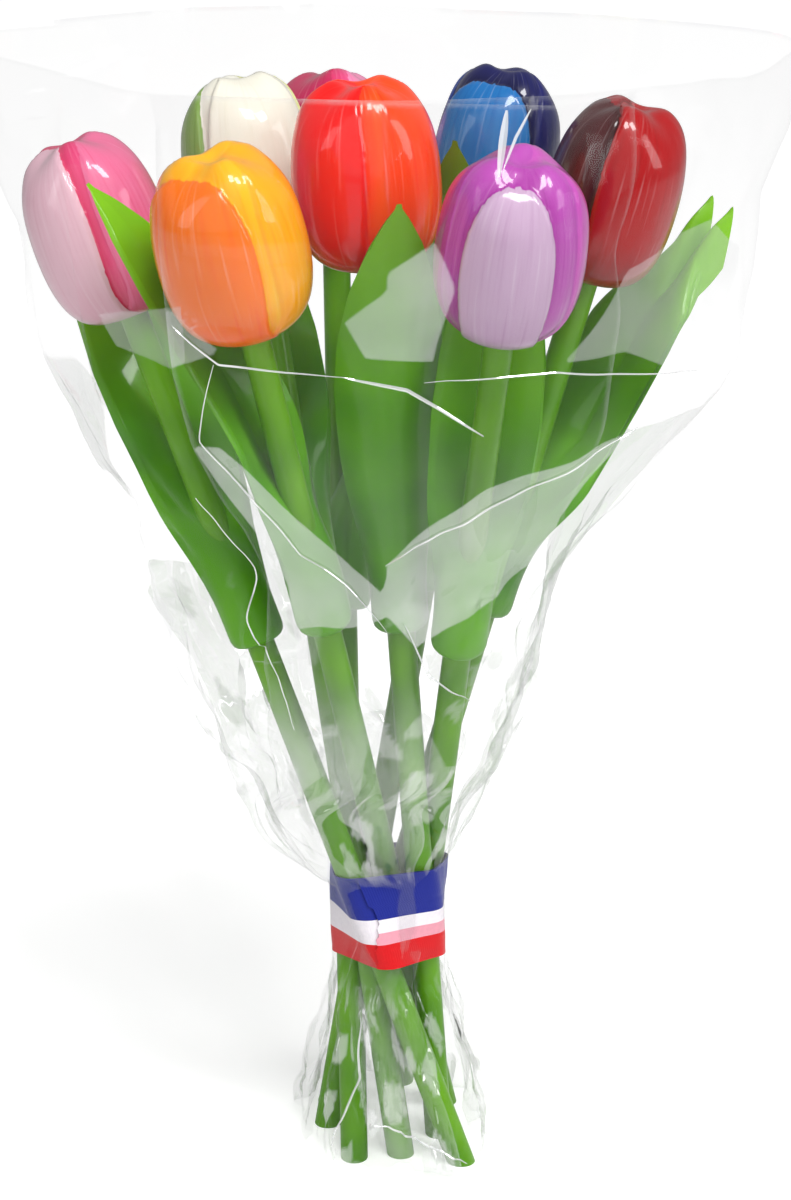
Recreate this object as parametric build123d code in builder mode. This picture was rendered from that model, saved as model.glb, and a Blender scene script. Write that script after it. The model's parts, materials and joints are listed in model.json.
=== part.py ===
"""A spiral-tied bunch of painted wooden tulips in a clear film sleeve with a ribbon round its neck.

Millimetres, +Z up. The floor that the stem ends stand on is Z = 0, and the box of the whole bunch
is centred on the origin. Azimuth 0 is the +X side, and the front of the bunch is the -Y side.
"""
import os
from collections import namedtuple
from math import cos, radians, sin, sqrt

from build123d import *

# Tulips
STEM_LENGTH = 302.0
STEM_DIAMETER = 8.5
STEM_GAP = 0.5
GLUE_GAP = 0.1
HEAD_HEIGHT = 57.0
HEAD_WAIST = 24.0
HEAD_FOOT_DIAMETER = 13.0
HEAD_SOCKET_DEPTH = 18.0
FOOT_FULLNESS = 0.8
CROWN_FULLNESS = 0.62
SIDE_FULLNESS = 0.65
PETALS = 3
PETAL_RELIEF = 1.3
PETAL_WIDTH = 33.0
PETAL_FOOT_WIDTH = 26.0
PETAL_TIP_DROP = 7.0

# Leaves
LEAF_LENGTH = 135.0
LEAF_WIDTH = 32.0
LEAF_REACH = 44.0
BLADE_BOW = 20.0
BLADE_RISES = (0.45, 0.75)
BLADE_THICKNESS = 4.0
TIP_THICKNESS = 2.0
TIP_WIDTH = 3.0
TIP_NOTCH = 4.0
COLLAR_DIAMETER = 17.0
COLLAR_HEIGHT = 30.0
COLLAR_ROUNDING = 3.0

# The blade's outline from its foot to its tip: shares of its length, and of half its width there.
LEAF_OUTLINE = ((0.25, 0.82), (0.56, 1.0), (0.83, 0.70))

# Tie and wrap
TIE_DROP = 210.0
RIBBON_WIDTH = 32.0
RIBBON_THICKNESS = 0.5
RIBBON_LAP = 20.0
LAP_EDGE = -5.0
FILM_THICKNESS = 0.4
FILM_GAP = 0.3
RIBBON_GAP = 0.1
SKIRT_CLEARANCE = 1.5
RIM_RISE = 3.0
RIM_SLOPE = 0.05
WRAP_SIDES = 14

# How slack the film hangs around what it wraps: at the skirt, at shares of the way from the ribbon
# to the rim, and at the rim.
SKIRT_SLACK = 5.0
FILM_SLACK = ((0.07, 9.0), (0.24, 17.0), (0.45, 16.0), (0.63, 26.0), (0.83, 15.0))
RIM_SLACK = 20.0

# Each tulip: the place of its stem in the tie, counted in stem pitches; its lean, as sideways run
# for each unit of rise; its head's diameter and turn; the share of its leaf that is below the head,
# and the leaf's azimuth.
Tulip = namedtuple("Tulip", "name tie lean head_diameter head_turn leaf_share leaf_turn")
TULIPS = (
    Tulip("pink", (-0.50, -1.90), (-0.367, 0.119), 41.0, 200.0, 0.83, 110.0),
    Tulip("yellow", (0.30, -0.25), (-0.202, -0.191), 43.5, 250.0, 0.76, 158.0),
    Tulip("scarlet", (1.20, -0.95), (-0.07, 0.0), 43.5, 225.0, 0.84, -82.0),
    Tulip("lilac", (1.25, 0.80), (0.101, -0.252), 43.5, 262.0, 0.81, 90.0),
    Tulip("crimson", (0.25, 1.45), (0.28, 0.01), 40.0, 305.0, 0.80, 28.0),
    Tulip("blue", (-0.75, 0.95), (0.169, 0.139), 39.0, 245.0, 0.79, -105.0),
    Tulip("rose", (-1.35, 0.05), (-0.02, 0.324), 41.0, 290.0, 0.83, 10.0),
    Tulip("white", (-0.80, -0.88), (-0.149, 0.178), 41.0, 235.0, 0.80, 105.0),
)

# Sizes that follow from those above
STEM_PITCH = STEM_DIAMETER + STEM_GAP
BORE_DIAMETER = STEM_DIAMETER + 2 * GLUE_GAP
HEAD_START = STEM_LENGTH - HEAD_SOCKET_DEPTH
TIE_HEIGHT = HEAD_START - TIE_DROP
RIM_HEIGHT = HEAD_START + HEAD_HEIGHT + RIM_RISE
RIBBON_BOTTOM = TIE_HEIGHT - RIBBON_WIDTH / 2
RIBBON_TOP = TIE_HEIGHT + RIBBON_WIDTH / 2

# The corners of the curve of the blade's outer face: distances from the stem's centre line, and heights.
BLADE_RADII = (COLLAR_DIAMETER / 2, COLLAR_DIAMETER / 2, BLADE_BOW, LEAF_REACH)
BLADE_HEIGHTS = (COLLAR_HEIGHT / 2, *(rise * LEAF_LENGTH for rise in BLADE_RISES), LEAF_LENGTH)


def stem_axis(tulip):
    """Direction up the stem."""
    return Vector(tulip.lean[0], tulip.lean[1], 1).normalized()


def stem_foot(tulip):
    """Where the stem's centre line meets the floor, in a frame centred on the tie."""
    x = tulip.tie[0] * STEM_PITCH - tulip.lean[0] * TIE_HEIGHT
    y = tulip.tie[1] * STEM_PITCH - tulip.lean[1] * TIE_HEIGHT
    return Vector(x, y, 0)


def around_stem(tulip, azimuth):
    """Unit vector square to the stem that points to an azimuth."""
    axis = stem_axis(tulip)
    level = Vector(cos(radians(azimuth)), sin(radians(azimuth)), 0)
    return (level - axis * level.dot(axis)).normalized()


def leaf_start(tulip):
    """Distance up the stem to the foot of the leaf's collar."""
    return HEAD_START - tulip.leaf_share * LEAF_LENGTH


def bezier(share, start, near, far, end):
    """A coordinate of a four-point Bezier curve, a share of the way along it."""
    rest = 1 - share
    return start * rest**3 + 3 * near * share * rest**2 + 3 * far * share**2 * rest + end * share**3


def blade_radius(height):
    """Distance of the blade's outer face from the stem's centre line, above the collar's foot."""
    below, above = 0.0, 1.0
    while above - below > 1e-6:
        share = (below + above) / 2
        if bezier(share, *BLADE_HEIGHTS) < height:
            below = share
        else:
            above = share
    return bezier(below, *BLADE_RADII)


def blade_half_width(height):
    """Half the blade's width, above the collar's foot."""
    share = min(max(height / LEAF_LENGTH, 0), 1)
    return LEAF_WIDTH / 2 * sqrt(max(1 - (2 * share - 1) ** 4, 0))


def head_radius(tulip, height):
    """Radius of an egg that holds the head, above the head's foot."""
    share = 2 * height / HEAD_HEIGHT - 1
    return tulip.head_diameter / 2 * sqrt(max(1 - share**2, 0))


def wrapped_discs(height):
    """Level discs (x, y, radius) that the film has to go round at a height above the floor."""
    discs = []
    for tulip in TULIPS:
        foot, axis = stem_foot(tulip), stem_axis(tulip)
        run = height / axis.Z
        centre = foot + axis * run
        radius = STEM_DIAMETER / 2
        if run > HEAD_START:
            radius = head_radius(tulip, min(run - HEAD_START, HEAD_HEIGHT))
        discs.append((centre.X, centre.Y, radius / axis.Z))
        rise = min(run - leaf_start(tulip), LEAF_LENGTH)
        if rise > 0:
            outward = around_stem(tulip, tulip.leaf_turn)
            across = axis.cross(outward)
            radius = blade_radius(rise)
            side = min(blade_half_width(rise), radius)
            centre = foot + axis * (leaf_start(tulip) + rise)
            for offset in (-side, 0, side):
                point = centre + outward * sqrt(radius**2 - offset**2) + across * offset
                discs.append((point.X, point.Y, 0))
    return discs


def wrap_outline(height, slack):
    """Corners of a tight many-sided outline round the bunch, moved out by a slack."""
    step = 360 / WRAP_SIDES
    discs = wrapped_discs(height)
    reach = []
    for side in range(WRAP_SIDES):
        nx, ny = cos(radians(side * step)), sin(radians(side * step))
        reach.append(max(x * nx + y * ny + r for x, y, r in discs) + slack)
    corners = []
    for side in range(WRAP_SIDES):
        near, far = reach[side], reach[(side + 1) % WRAP_SIDES]
        along = (far - near * cos(radians(step))) / sin(radians(step))
        nx, ny = cos(radians(side * step)), sin(radians(side * step))
        corners.append((nx * near - ny * along, ny * near + nx * along))
    return corners


# Film sections as (height, slack of the film's inner face, slope of the section).
FILM_SECTIONS = (
    (SKIRT_CLEARANCE, SKIRT_SLACK, 0),
    (RIBBON_BOTTOM, FILM_GAP, 0),
    (TIE_HEIGHT, FILM_GAP, 0),
    (RIBBON_TOP, FILM_GAP, 0),
    *((RIBBON_TOP + share * (RIM_HEIGHT - RIBBON_TOP), slack, 0) for share, slack in FILM_SLACK),
    (RIM_HEIGHT, RIM_SLACK, RIM_SLOPE),
)

# The whole bunch is set so that the film's box is centred on the origin.
outer_corners = [
    corner
    for height, slack, slope in FILM_SECTIONS
    for corner in wrap_outline(height, slack + FILM_THICKNESS)
]
BUNCH_X = -(min(x for x, y in outer_corners) + max(x for x, y in outer_corners)) / 2
BUNCH_Y = -(min(y for x, y in outer_corners) + max(y for x, y in outer_corners)) / 2
BUNCH = Vector(BUNCH_X, BUNCH_Y, 0)


def stem_plane(tulip, distance):
    """Plane square to the stem, at a distance up it from the floor."""
    axis = stem_axis(tulip)
    origin = BUNCH + stem_foot(tulip) + axis * distance
    return Plane(origin=origin, x_dir=around_stem(tulip, 0), z_dir=axis)


def profile_plane(tulip, distance, azimuth):
    """Plane through the stem's centre line: x is outward to an azimuth, y is up the stem."""
    axis, outward = stem_axis(tulip), around_stem(tulip, azimuth)
    origin = BUNCH + stem_foot(tulip) + axis * distance
    return Plane(origin=origin, x_dir=outward, z_dir=outward.cross(axis))


def facing_plane(tulip, distance, azimuth):
    """Plane on the stem's centre line that faces an azimuth: y is up the stem."""
    axis, outward = stem_axis(tulip), around_stem(tulip, azimuth)
    origin = BUNCH + stem_foot(tulip) + axis * distance
    return Plane(origin=origin, x_dir=axis.cross(outward), z_dir=outward)


def egg_profile(plane, radius, height):
    """Half section of an egg-shaped body of a given radius and height that stands on its foot."""
    foot = HEAD_FOOT_DIAMETER / 2
    low = HEAD_WAIST * (1 - SIDE_FULLNESS)
    high = HEAD_WAIST + (height - HEAD_WAIST) * SIDE_FULLNESS
    with BuildSketch(plane) as profile:
        with BuildLine():
            Bezier((foot, 0), (FOOT_FULLNESS * radius, 0), (radius, low), (radius, HEAD_WAIST))
            Bezier((radius, HEAD_WAIST), (radius, high), (CROWN_FULLNESS * radius, height), (0, height))
            Polyline((0, height), (0, 0), (foot, 0))
        make_face()
    return profile.sketch


def make_petal(tulip, turn):
    """One raised outer petal: a tongue-shaped slice of an egg slightly larger than the head's core."""
    centre_line = Axis(stem_plane(tulip, HEAD_START).origin, stem_axis(tulip))
    radius, tip = tulip.head_diameter / 2, HEAD_HEIGHT - PETAL_TIP_DROP
    side, foot = PETAL_WIDTH / 2, PETAL_FOOT_WIDTH / 2
    with BuildPart() as petal:
        add(egg_profile(profile_plane(tulip, HEAD_START, turn), radius, (HEAD_HEIGHT + tip) / 2))
        revolve(axis=centre_line)
        with BuildSketch(facing_plane(tulip, HEAD_START, turn)):
            with BuildLine():
                Spline((-foot, 0), (-side, HEAD_WAIST), (0, tip), (side, HEAD_WAIST), (foot, 0))
                Line((foot, 0), (-foot, 0))
            make_face()
        extrude(amount=tulip.head_diameter, mode=Mode.INTERSECT)
    return petal.part


def make_head(tulip):
    """A carved head: an egg-shaped core with raised petals and a socket for the stem."""
    foot_plane = stem_plane(tulip, HEAD_START)
    centre_line = Axis(foot_plane.origin, stem_axis(tulip))
    radius = tulip.head_diameter / 2 - PETAL_RELIEF
    petals = [make_petal(tulip, tulip.head_turn + petal * 360 / PETALS) for petal in range(PETALS)]
    with BuildPart() as head:
        add(egg_profile(profile_plane(tulip, HEAD_START, tulip.head_turn), radius, HEAD_HEIGHT))
        revolve(axis=centre_line)
        add(petals)
        with BuildSketch(foot_plane):
            Circle(BORE_DIAMETER / 2)
        extrude(amount=HEAD_SOCKET_DEPTH, mode=Mode.SUBTRACT)
    return head.part


def make_stem(tulip):
    """A straight dowel from the floor, sawn level there, into the head's socket."""
    spare = STEM_DIAMETER
    with BuildPart() as stem:
        with BuildSketch(stem_plane(tulip, -spare)):
            Circle(STEM_DIAMETER / 2)
        extrude(amount=spare + STEM_LENGTH)
        split(bisect_by=Plane.XY, keep=Keep.TOP)
    return stem.part


def make_blade(tulip):
    """The leaf's blade: a sector of a flared tube round the stem, cut to a pointed outline."""
    outer, inner = COLLAR_DIAMETER / 2, COLLAR_DIAMETER / 2 - BLADE_THICKNESS
    tip, bow = LEAF_REACH - TIP_THICKNESS, BLADE_BOW - BLADE_THICKNESS
    low, middle, high, top = BLADE_HEIGHTS
    point = TIP_WIDTH / 2
    right = [(side * LEAF_WIDTH / 2, rise * LEAF_LENGTH) for rise, side in LEAF_OUTLINE]
    left = [(-x, y) for x, y in reversed(right)]
    centre_line = Axis(stem_plane(tulip, 0).origin, stem_axis(tulip))
    with BuildPart() as blade:
        with BuildSketch(profile_plane(tulip, leaf_start(tulip), tulip.leaf_turn)):
            with BuildLine():
                Bezier(*zip(BLADE_RADII, BLADE_HEIGHTS))
                Line((LEAF_REACH, top), (tip, top))
                Bezier((tip, top), (bow, high), (inner, middle), (inner, low))
                Line((inner, low), (outer, low))
            make_face()
        revolve(axis=centre_line)
        with BuildSketch(facing_plane(tulip, leaf_start(tulip), tulip.leaf_turn)):
            with BuildLine():
                Line((-outer, 0), (outer, 0))
                Spline((outer, 0), *right, (point, LEAF_LENGTH))
                Line((point, LEAF_LENGTH), (0, LEAF_LENGTH - TIP_NOTCH))
                Line((0, LEAF_LENGTH - TIP_NOTCH), (-point, LEAF_LENGTH))
                Spline((-point, LEAF_LENGTH), *left, (-outer, 0))
            make_face()
        extrude(amount=2 * LEAF_REACH, mode=Mode.INTERSECT)
    return blade.part


def make_leaf(tulip):
    """A carved leaf: a rounded collar on the stem that runs out into a gutter-shaped blade."""
    blade = make_blade(tulip)
    foot_plane = stem_plane(tulip, leaf_start(tulip))
    with BuildPart() as leaf:
        with BuildSketch(foot_plane):
            Circle(COLLAR_DIAMETER / 2)
        extrude(amount=COLLAR_HEIGHT)
        fillet(leaf.edges().filter_by(GeomType.CIRCLE), COLLAR_ROUNDING)
        add(blade)
        with BuildSketch(foot_plane):
            Circle(BORE_DIAMETER / 2)
        extrude(amount=LEAF_LENGTH, mode=Mode.SUBTRACT)
    return leaf.part


def wrap_section(height, slack, slope):
    """A wrap outline on its plane, which may slope down to the back."""
    lean = sqrt(1 + slope**2)
    plane = Plane(origin=(BUNCH_X, BUNCH_Y, height), x_dir=(1, 0, 0), z_dir=(0, slope, 1))
    with BuildSketch(plane) as section:
        with BuildLine():
            Polyline([(x, y * lean) for x, y in wrap_outline(height, slack)], close=True)
        make_face()
    return section.sketch


def make_film():
    """The clear sleeve: open at its rim and its skirt, and drawn in at the tie."""
    with BuildPart() as film:
        add([wrap_section(h, slack + FILM_THICKNESS, slope) for h, slack, slope in FILM_SECTIONS])
        loft(ruled=True)
        add([wrap_section(h, slack, slope) for h, slack, slope in FILM_SECTIONS])
        loft(ruled=True, mode=Mode.SUBTRACT)
    return film.part


def make_band(inside, outside):
    """A band round the neck of the film, between two slacks."""
    heights = (RIBBON_BOTTOM, TIE_HEIGHT, RIBBON_TOP)
    with BuildPart() as band:
        add([wrap_section(height, outside, 0) for height in heights])
        loft(ruled=True)
        add([wrap_section(height, inside, 0) for height in heights])
        loft(ruled=True, mode=Mode.SUBTRACT)
    return band.part


def make_ribbon():
    """The flat ribbon: one turn round the film, with its free end lapped over the right front."""
    inside = FILM_GAP + FILM_THICKNESS + RIBBON_GAP
    outside = inside + RIBBON_THICKNESS
    turn = make_band(inside, outside)
    second = make_band(outside, outside + RIBBON_THICKNESS)
    with BuildPart() as lap:
        add(second)
        with BuildSketch(Plane(origin=(BUNCH_X + LAP_EDGE, BUNCH_Y, RIBBON_BOTTOM), z_dir=(0, 0, 1))):
            Rectangle(RIBBON_LAP, second.bounding_box().size.Y, align=(Align.MIN, Align.MAX))
        extrude(amount=RIBBON_WIDTH, mode=Mode.INTERSECT)
    with BuildPart() as ribbon:
        add(turn)
        add(lap.part)
    return ribbon.part


def write_piece(piece, name):
    """Labels a finished piece and writes it to its own file."""
    piece.label = name
    export_step(piece, f"parts/{name}.step")


os.makedirs("parts", exist_ok=True)
for tulip in TULIPS:
    write_piece(make_head(tulip), f"{tulip.name}_tulip_head")
    write_piece(make_stem(tulip), f"{tulip.name}_tulip_stem")
    write_piece(make_leaf(tulip), f"{tulip.name}_tulip_leaf")
write_piece(make_film(), "film_sleeve")
write_piece(make_ribbon(), "tie_ribbon")
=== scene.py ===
"""Looks of the bunch of painted wooden tulips in clear film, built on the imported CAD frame.

Lengths are millimetres in the tables and functions. Meshes, lamps and the camera are set in metres.
"""
import json
from math import cos, pi, radians, sin

import bpy
import numpy as np
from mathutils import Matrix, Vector


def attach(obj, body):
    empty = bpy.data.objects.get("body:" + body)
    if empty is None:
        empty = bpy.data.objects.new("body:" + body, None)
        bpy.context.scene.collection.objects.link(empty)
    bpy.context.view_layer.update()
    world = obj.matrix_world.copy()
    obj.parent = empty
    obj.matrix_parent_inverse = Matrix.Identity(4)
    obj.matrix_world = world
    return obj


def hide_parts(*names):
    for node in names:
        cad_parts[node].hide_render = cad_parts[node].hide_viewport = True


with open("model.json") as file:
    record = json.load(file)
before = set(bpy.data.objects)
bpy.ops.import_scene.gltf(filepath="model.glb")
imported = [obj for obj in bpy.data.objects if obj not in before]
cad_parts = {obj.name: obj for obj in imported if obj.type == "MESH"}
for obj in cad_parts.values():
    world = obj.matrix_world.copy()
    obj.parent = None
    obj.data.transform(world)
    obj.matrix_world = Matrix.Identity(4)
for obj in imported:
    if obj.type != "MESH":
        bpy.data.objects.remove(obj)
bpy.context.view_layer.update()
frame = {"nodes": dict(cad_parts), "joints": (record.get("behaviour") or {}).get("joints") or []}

# Sizes of the wood
STEM_RADIUS = 4.25
HEAD_START = 285.0
HEAD_HEIGHT = 54.0
HEAD_WAIST = 24.0
HEAD_FOOT = 6.5
INNER_PETAL_DEPTH = 1.7
SIDE_PETAL_STEP = 0.8
PETAL_SWELL = 0.25
LOBE_RISE = 1.3
CROWN_DIP = 2.2
LEAF_LENGTH = 135.0
LEAF_EDGE_THICKNESS = 1.2
LEAF_LEAST_THICKNESS = 0.8
LEAF_LEAST_BEND = 13.0
COLLAR_RADIUS = 8.5

# Sizes of the wrap
TIE_HEIGHT = 74.0
RIBBON_BOTTOM, RIBBON_TOP = 62.5, 92.0
RIBBON_SLACK = 1.1
SKIRT_BOTTOM = 1.5
RIM_HEIGHT = 344.0
FILM_GIRTH = 520.0
FILM_CLEARANCE = 1.0

# Azimuths of the free ends of the ribbon and the film, at the front and the front left.
RIBBON_START, FILM_START = 262.0, 228.0

# Head of each tulip: diameter, then the front petal's azimuth, half width and tip height.
HEADS = {
    "pink": (41.0, 216.0, 19.0, 54.0),
    "yellow": (43.5, 238.0, 21.5, 52.0),
    "scarlet": (43.5, 220.0, 19.0, 55.5),
    "lilac": (43.5, 264.0, 14.5, 51.5),
    "crimson": (40.0, 314.0, 22.0, 57.5),
    "blue": (39.0, 246.0, 18.5, 50.0),
    "rose": (41.0, 222.0, 18.0, 55.0),
    "white": (41.0, 290.0, 18.5, 55.0),
}

# Leaf of each tulip: start up the stem, azimuth, length, half widths of tip and blade, swell of its middle.
LEAVES = {
    "pink": (179.0, 110.0, 135.0, 0.7, 16.0, 0.0),
    "yellow": (185.0, 151.0, 143.0, 0.7, 16.0, 0.0),
    "scarlet": (173.0, -78.0, 140.0, 0.7, 16.0, 0.0),
    "lilac": (175.0, 90.0, 135.0, 0.7, 16.0, 0.0),
    "crimson": (176.0, 33.0, 137.0, 10.0, 20.0, 10.0),
    "blue": (178.0, -110.0, 140.0, 0.7, 16.0, 0.0),
    "rose": (172.0, 10.0, 135.0, 0.7, 16.0, 0.0),
    "white": (182.0, 112.0, 139.0, 0.7, 16.0, 0.0),
}

# Paints of each head: front petal, petal to its right, petal to its left, inner petals.
PAINTS = {
    "pink": ("#DEB2C0", "#E26E96", "#DC96B0", "#DA4A7A"),
    "yellow": ("#F87400", "#FBAA00", "#FAA806", "#FBB80C"),
    "scarlet": ("#F40A06", "#FF4200", "#EA2206", "#FF4C0A"),
    "lilac": ("#C6A6C4", "#C450B4", "#A22C86", "#B64AAE"),
    "crimson": ("#A40006", "#900008", "#480A10", "#8A0610"),
    "blue": ("#1A6AAC", "#181A5C", "#1C3C8A", "#141650"),
    "rose": ("#BE2456", "#EA86AE", "#B02050", "#DC4C80"),
    "white": ("#E6E3D4", "#E0E29E", "#86AA54", "#E8E6DA"),
}

# Stripes of the ribbon from its lower edge, and of its lapped end, where red shows through the white.
STRIPES = ((0.0, "#DC0812"), (0.27, "#F6F0F4"), (0.54, "#16268E"))
LAPPED_STRIPES = ((0.0, "#DC0812"), (0.27, "#F0A3B2"), (0.40, "#F6F0F4"), (0.54, "#16268E"))


# Helpers

def linear(code):
    """Linear colour of an sRGB hex value."""
    parts = [int(code[i:i + 2], 16) / 255 for i in (1, 3, 5)]
    return (*(c / 12.92 if c <= 0.04045 else ((c + 0.055) / 1.055) ** 2.4 for c in parts), 1.0)


def node(tree, kind, inputs=None, **settings):
    """Adds a shader node with its settings. An input takes a value, a socket or a node's first output."""
    made = tree.nodes.new(kind)
    for name, value in settings.items():
        setattr(made, name, value)
    for name, value in (inputs or {}).items():
        if isinstance(value, bpy.types.Node):
            value = value.outputs[0]
        if isinstance(value, bpy.types.NodeSocket):
            tree.links.new(value, made.inputs[name])
        else:
            made.inputs[name].default_value = value
    return made


def new_material(name):
    """An empty node material and its output node."""
    made = bpy.data.materials.new(name)
    made.use_nodes = True
    made.node_tree.nodes.clear()
    return made, made.node_tree, made.node_tree.nodes.new("ShaderNodeOutputMaterial")


def read_points(mesh):
    """Vertex positions as an array."""
    flat = np.empty(len(mesh.vertices) * 3)
    mesh.vertices.foreach_get("co", flat)
    return flat.reshape(-1, 3)


def write_points(mesh, places):
    """Sets the vertex positions from millimetres."""
    mesh.vertices.foreach_set("co", (places * 0.001).ravel())
    mesh.update()


def write_values(mesh, name, values):
    """Stores one number at each vertex."""
    mesh.attributes.new(name, "FLOAT", "POINT").data.foreach_set("value", values.astype(np.float32))


def ease(value, low, high):
    """Smooth step from 0 at low to 1 at high."""
    share = np.clip((value - low) / (high - low), 0, 1)
    return share * share * (3 - 2 * share)


def bezier(corners, count=80):
    """Points of a four-cornered curve."""
    t = np.linspace(0, 1, count)[:, None]
    a, b, c, d = np.array(corners, float)
    return a * (1 - t) ** 3 + 3 * b * t * (1 - t) ** 2 + 3 * c * t * t * (1 - t) + d * t**3


def stem_line(name):
    """Foot and direction of a tulip's stem, from its CAD node and its slide."""
    places = read_points(frame["nodes"][f"{name}_tulip_stem"].data) * 1000
    low = places[places[:, 2] < 0.01]
    slide = next(j for j in frame["joints"] if j["child"] == f"{name}_tulip")
    return (low.min(0) + low.max(0)) / 2, np.array(slide["axis"])


STEMS = {name: stem_line(name) for name in HEADS}
TIE = np.mean([(foot + axis / axis[2] * TIE_HEIGHT)[:2] for foot, axis in STEMS.values()], axis=0)


def around(axis, azimuth):
    """Unit vector square to a stem that points to an azimuth."""
    level = np.array([cos(radians(azimuth)), sin(radians(azimuth)), 0.0])
    level -= axis * level.dot(axis)
    return level / np.linalg.norm(level)


def new_primitive(add, name, **sizes):
    """A new primitive, alone selected, under its piece's name."""
    bpy.ops.object.select_all(action="DESELECT")
    add(**sizes)
    made = bpy.context.object
    made.name = made.data.name = name
    return made


def new_grid(name, columns, rows):
    """A flat grid, with the column and the row of each of its points."""
    made = new_primitive(bpy.ops.mesh.primitive_grid_add, name,
                         x_subdivisions=columns, y_subdivisions=rows, size=2)
    column, row = np.round((read_points(made.data)[:, :2] + 1) / 2 * (columns, rows)).astype(int).T
    return made, column, row


def close_up():
    """Merges the seams of the piece at hand, fills its open ends and turns its faces outwards."""
    bpy.ops.object.mode_set(mode="EDIT")
    bpy.ops.mesh.select_all(action="SELECT")
    bpy.ops.mesh.remove_doubles(threshold=0.00002)
    bpy.ops.mesh.fill_holes(sides=0)
    bpy.ops.mesh.select_all(action="SELECT")
    bpy.ops.mesh.normals_make_consistent(inside=False)
    bpy.ops.object.mode_set(mode="OBJECT")


def finish_piece(piece, material, body, slot, *nodes):
    """Gives a piece its material, its body and the CAD nodes that it stands for."""
    piece.data.materials.clear()
    piece.data.materials.append(material)
    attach(piece, body)
    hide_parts(*nodes)


# Materials

def lacquered_wood(name, front, right, left, inner):
    """Carved wood, brush-painted under clear lacquer: crisp petal edges, streaks and sharp highlights."""
    made, tree, output = new_material(name)
    # Paints meet over a quarter of a millimetre; the darker foot and the painted shade by the front petal
    # run out over a longer way.
    ramps = {
        "on_right": ("side_pick", -0.12, 0.12),
        "on_side": ("side_edge", -0.12, 0.12),
        "on_front": ("front_edge", -0.12, 0.12),
        "near_front": ("front_edge", -3.5, -0.2),
        "off_front": ("front_edge", 0.1, -0.1),
        "at_foot": ("rise", 0.30, 0.0),
    }
    share = {}
    for key, (attribute, low, high) in ramps.items():
        value = node(tree, "ShaderNodeAttribute", attribute_name=attribute).outputs["Fac"]
        share[key] = node(tree, "ShaderNodeMapRange", {"Value": value, "From Min": low, "From Max": high})
    sides = node(tree, "ShaderNodeMixRGB", {
        "Fac": share["on_right"], "Color1": linear(left), "Color2": linear(right)})
    petals = node(tree, "ShaderNodeMixRGB", {
        "Fac": share["on_side"], "Color1": linear(inner), "Color2": sides})
    paint = node(tree, "ShaderNodeMixRGB", {
        "Fac": share["on_front"], "Color1": petals, "Color2": linear(front)})
    # Brush streaks 1.2 mm wide and about 25 mm long, on a girth of 132 mm and a height of 57.5 mm.
    place = node(tree, "ShaderNodeTexCoord").outputs["UV"]
    drawn_out = node(tree, "ShaderNodeMapping", {"Vector": place, "Scale": (132 / 1.2, 57.5 / 25, 1.0)})
    streaks = node(tree, "ShaderNodeTexNoise", {
        "Vector": drawn_out, "Scale": 1.0, "Detail": 3.0}).outputs["Fac"]
    dark = node(tree, "ShaderNodeMapRange", {"Value": streaks, "From Min": 0.52, "From Max": 0.80})
    pale = node(tree, "ShaderNodeMapRange", {"Value": streaks, "From Min": 0.42, "From Max": 0.22})
    deeper = node(tree, "ShaderNodeGamma", {"Color": paint, "Gamma": 1.25})
    paint = node(tree, "ShaderNodeMixRGB", {"Fac": dark, "Color1": paint, "Color2": deeper})
    chalky = node(tree, "ShaderNodeMixRGB", {"Fac": 0.15, "Color1": paint, "Color2": linear("#FFFFFF")})
    paint = node(tree, "ShaderNodeMixRGB", {"Fac": pale, "Color1": paint, "Color2": chalky})
    # Darker towards the foot, and painted shade beside the front petal's edge, on the petals under its
    # overlap.
    shade_under_front_edge = node(tree, "ShaderNodeMath", {0: share["near_front"], 1: share["off_front"]},
                  operation="MULTIPLY")
    for shade in (share["at_foot"], shade_under_front_edge):
        deeper = node(tree, "ShaderNodeGamma", {"Color": paint, "Gamma": 1.3})
        paint = node(tree, "ShaderNodeMixRGB", {"Fac": shade, "Color1": paint, "Color2": deeper})
    bump = node(tree, "ShaderNodeBump", {"Height": streaks, "Strength": 0.12, "Distance": 0.0003})
    rough = node(tree, "ShaderNodeMapRange", {"Value": streaks, "To Min": 0.24, "To Max": 0.36})
    shader = node(tree, "ShaderNodeBsdfPrincipled", {
        "Base Color": paint, "Roughness": rough, "Specular IOR Level": 0.2, "Coat Weight": 0.7,
        "Coat Roughness": 0.03, "Normal": bump})
    tree.links.new(shader.outputs["BSDF"], output.inputs["Surface"])
    return made


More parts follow.
